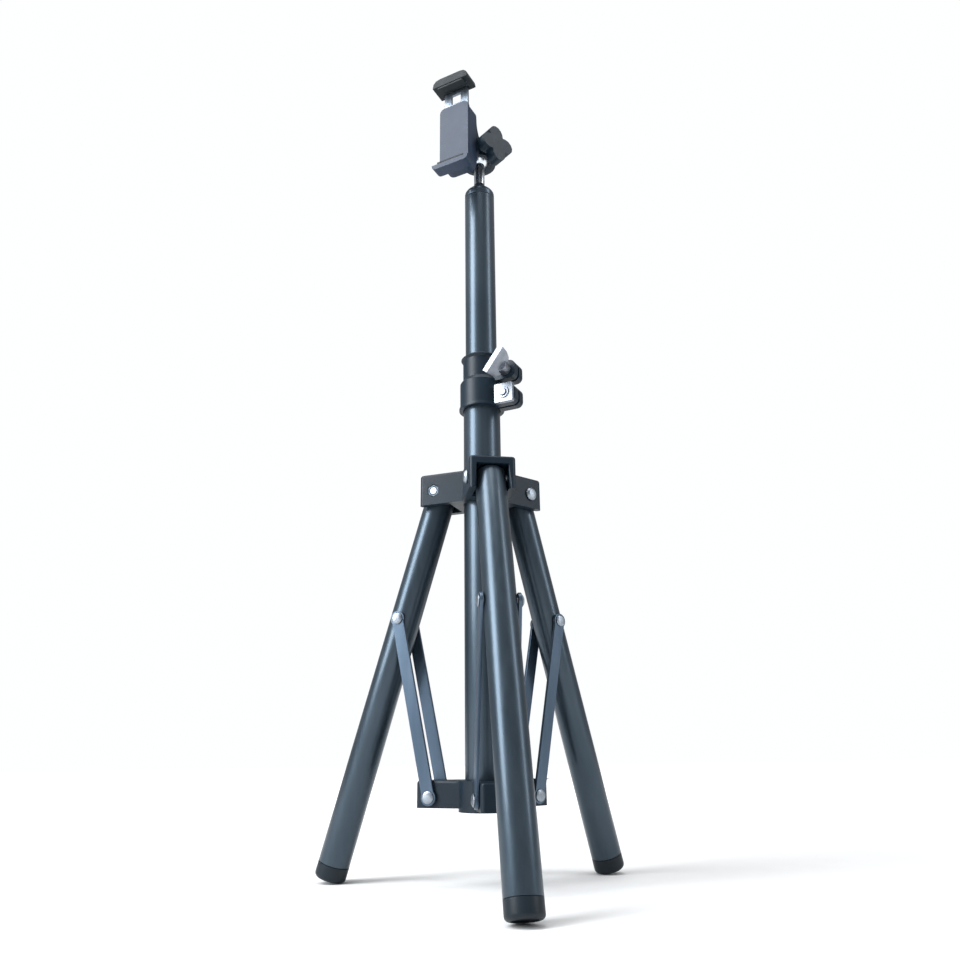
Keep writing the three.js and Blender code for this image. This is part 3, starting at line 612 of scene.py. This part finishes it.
# %% Turn the stem
def turned(profile, sides=ROUND):
    (first, start), rest = profile[0], profile[1:]
    bpy.ops.object.select_all(action="DESELECT")
    bpy.ops.mesh.primitive_circle_add(vertices=sides, radius=first, fill_type="NGON", location=(0, 0, start))
    piece = bpy.context.active_object
    bpy.ops.object.transform_apply(location=True)
    only(piece)
    bpy.ops.object.mode_set(mode="EDIT")
    bpy.ops.mesh.select_all(action="SELECT")
    radius = first
    height = start
    for wide, high in rest:
        bpy.ops.mesh.extrude_region_move(TRANSFORM_OT_translate={"value": (0, 0, high - height)})
        ratio = wide / radius
        bpy.ops.transform.resize(value=(ratio, ratio, 1), center_override=(0, 0, high))
        radius = wide
        height = high
    bpy.ops.mesh.select_all(action="SELECT")
    bpy.ops.mesh.normals_make_consistent(inside=False)
    done()
    return piece


NECK_RADIUS = 4 * MM
BALL_RADIUS = 8 * MM
SHOULDER_HEIGHT = 13 * MM
SHOULDER_SKIRT = 0.25
SHANK = 14 * MM
low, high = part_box("ball_stem")
stem_bottom = low.z
ball_centre = high.z - BALL_RADIUS
shoulder_radius = (high.x - low.x) / 2
shank_radius = shoulder_radius - TUBE_WALL - GAP
shoulder_base = stem_bottom + SHANK
profile = [(shank_radius, stem_bottom), (shank_radius, shoulder_base), (shoulder_radius, shoulder_base)]
profile.append((shoulder_radius, shoulder_base + SHOULDER_SKIRT * SHOULDER_HEIGHT))
SHOULDER_STEPS = 16
for step in range(1, SHOULDER_STEPS + 1):
    part = step / SHOULDER_STEPS
    radius = shoulder_radius - (shoulder_radius - NECK_RADIUS) * (1 - cos(part * pi)) / 2
    profile.append((radius, shoulder_base + SHOULDER_HEIGHT * (SHOULDER_SKIRT + (1 - SHOULDER_SKIRT) * part)))
neck_top = asin(sqrt(BALL_RADIUS ** 2 - NECK_RADIUS ** 2) / BALL_RADIUS)
BALL_STEPS = 24
for step in range(BALL_STEPS):
    angle = -neck_top + (step / BALL_STEPS) * (pi / 2 + neck_top)
    profile.append((BALL_RADIUS * cos(angle), ball_centre + BALL_RADIUS * sin(angle)))
stem = turned(profile)
edit(stem, "EDGE")
bpy.ops.mesh.edges_select_sharp(sharpness=SHARP_FROM)
bpy.ops.mesh.bevel(offset=RIM, segments=3)
done()
smooth(stem)
lay(stem, Matrix.Translation(AXIS))
stem.name = "ball_stem_turned"
stand_in(stem, chrome, "ball_stem")
stem.data.materials.append(tube_paint)
PAINTED_SHARE = 0.98
paint_line = shoulder_base + PAINTED_SHARE * SHOULDER_HEIGHT
for face in stem.data.polygons:
    face.material_index = int(shoulder_base < face.center.z < paint_line)
print("ball centre height in mm:", round(ball_centre / MM, 1))

# %% [markdown]
# ## Ball housing and clamp
# The housing and the clamp's mouldings keep their model shape. Their edges are softer, as on the real
# handling parts, and the clamp's sliding plate keeps crisp pressed edges.

# %% Housing and clamp
trued("ball_housing", hub_plastic, edge=0.5 * MM, steps=3)
trued("clamp_back", clamp_plastic, edge=0.5 * MM, steps=3)
trued("clamp_front", clamp_plastic, edge=0.6 * MM, steps=4)
trued("slide_plate", slide_metal, edge=0.2 * MM)
trued("upper_jaw", jaw_rubber, edge=0.6 * MM, steps=4)
for side in ("left", "right"):
    trued("clamp_screw_" + side, zinc, edge=0.15 * MM)
for node in ("upper_jaw_pad", "lower_jaw_pad"):
    trued(node, jaw_rubber, edge=0.3 * MM)

# %% [markdown]
# ## Clamp springs
# Two small coil springs sit inside the clamp under the sliding plate. A coil is one round of wire swept
# up a screw line, which the Screw modifier does, with its two cut ends closed. A spring can't shorten
# when the jaw moves here, so it is drawn at the length that it has with the jaw right down.

# %% Wind the springs
WIRE = 0.45 * MM
COIL_RADIUS = 2.1 * MM
TURNS = 7
COIL_STEPS = 20
COIL_WELD = 0.001 * MM
JAW_DOWN = -min(JOINTS["jaw_slide"]["range_m"])

for side in ("left", "right"):
    node = "jaw_spring_" + side
    low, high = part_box(node)
    pitch = (high.z - low.z - JAW_DOWN - GAP - 2 * WIRE) / TURNS
    coil_radius = COIL_RADIUS
    bpy.ops.object.select_all(action="DESELECT")
    start = (coil_radius, 0, WIRE)
    bpy.ops.mesh.primitive_circle_add(vertices=12, radius=WIRE, location=start, rotation=(pi / 2, 0, 0))
    coil = bpy.context.active_object
    coil.name = node + "_wound"
    bpy.ops.object.transform_apply(location=True, rotation=True)
    sweep = {"angle": 2 * pi, "screw_offset": pitch, "iterations": TURNS}
    apply_modifier(coil, "SCREW", steps=COIL_STEPS, render_steps=COIL_STEPS, **sweep)
    edit(coil, "VERT")
    bpy.ops.mesh.select_all(action="SELECT")
    bpy.ops.mesh.remove_doubles(threshold=COIL_WELD)
    bpy.ops.mesh.fill_holes(sides=0)
    bpy.ops.mesh.select_all(action="SELECT")
    bpy.ops.mesh.normals_make_consistent(inside=False)
    done()
    smooth(coil)
    lay(coil, Matrix.Translation(((low.x + high.x) / 2, (low.y + high.y) / 2, low.z)))
    stand_in(coil, spring_steel, node)
    print(node, "pitch in mm:", round(pitch / MM, 2))

# %% [markdown]
# ## Floor and light
# A plain pale floor runs far back and meets a pale surround, so there is no line behind the stand. Away from
# the stand the floor is given a painted glow, which grows with the distance and keeps the far floor bright
# where the lamps fall off.
# A tall soft box at the front left draws the long bright line down every tube, a weaker one at the
# right draws the second line, and a wide panel overhead fills the top of the mouldings.

# %% Floor
FLOOR_DROP = 0.2 * MM
bpy.ops.object.select_all(action="DESELECT")
bpy.ops.mesh.primitive_plane_add(size=8, location=(0, 0, -FLOOR_DROP))
floor = bpy.context.active_object
floor.name = "floor"
paper, surface = begin("floor_paper_painted_glow")
# Painted glow: the floor's emission grows with the distance from its middle, from none at 0.3 m to full at
# 1.1 m, so the far floor glows though it is no lamp.
far = Wire.node("ShaderNodeVectorMath", {"operation": "LENGTH"}, {"Vector": place_on()}, output=1)
feed(
    surface,
    Base_Color=noise(40, detail=4).tint((0.78, 0.78, 0.78), (0.82, 0.82, 0.82)),
    Roughness=0.7,
    Emission_Color=far.between(0.3, 1.1).tint((0.0, 0.0, 0.0), (0.8, 0.8, 0.8)),
    Emission_Strength=1.0,
)
floor.data.materials.append(paper)

# %% Lights
def soft_box(name, place, target, width, height, power, tone=(1, 1, 1)):
    bpy.ops.object.select_all(action="DESELECT")
    bpy.ops.object.light_add(type="AREA", location=place)
    lamp = bpy.context.active_object
    lamp.name = name
    lamp.data.shape = "RECTANGLE"
    lamp.data.size = width
    lamp.data.size_y = height
    lamp.data.energy = power
    lamp.data.color = tone
    away = Vector(place) - Vector(target)
    lamp.rotation_euler = away.to_track_quat("Z", "Y").to_euler()
    return lamp


heart = Vector((0, AXIS.y, 0.28))
COOL = (0.94, 0.97, 1.0)


def beside(turn, distance, height):
    toward = camera.location - heart
    flat = Vector((toward.x, toward.y, 0)).normalized()
    return heart + Matrix.Rotation(turn, 3, "Z") @ flat * distance + Vector((0, 0, height - heart.z))


left_place = beside(radians(-64), 1.15, 1.0)
right_place = beside(radians(72), 1.2, 0.95)
soft_box("light_left", left_place, (0, AXIS.y, 0.5), 0.62, 1.5, 40, COOL)
soft_box("light_right", right_place, (0, AXIS.y, 0.5), 0.3, 1.4, 9, COOL)
soft_box("light_top", (-0.1, -0.1, 1.6), heart, 0.9, 0.9, 13)

world = bpy.data.worlds.new("surround")
bpy.context.scene.world = world
world.use_nodes = True
Wire.tree = world.node_tree
seen = Wire.node("ShaderNodeLightPath")
backing = world.node_tree.nodes["Background"]
backing.inputs["Color"].default_value = (0.97, 0.985, 1, 1)
Wire.tree.links.new((0.34 + seen * 0.68).socket, backing.inputs["Strength"])
bpy.context.scene.view_settings.view_transform = "Standard"
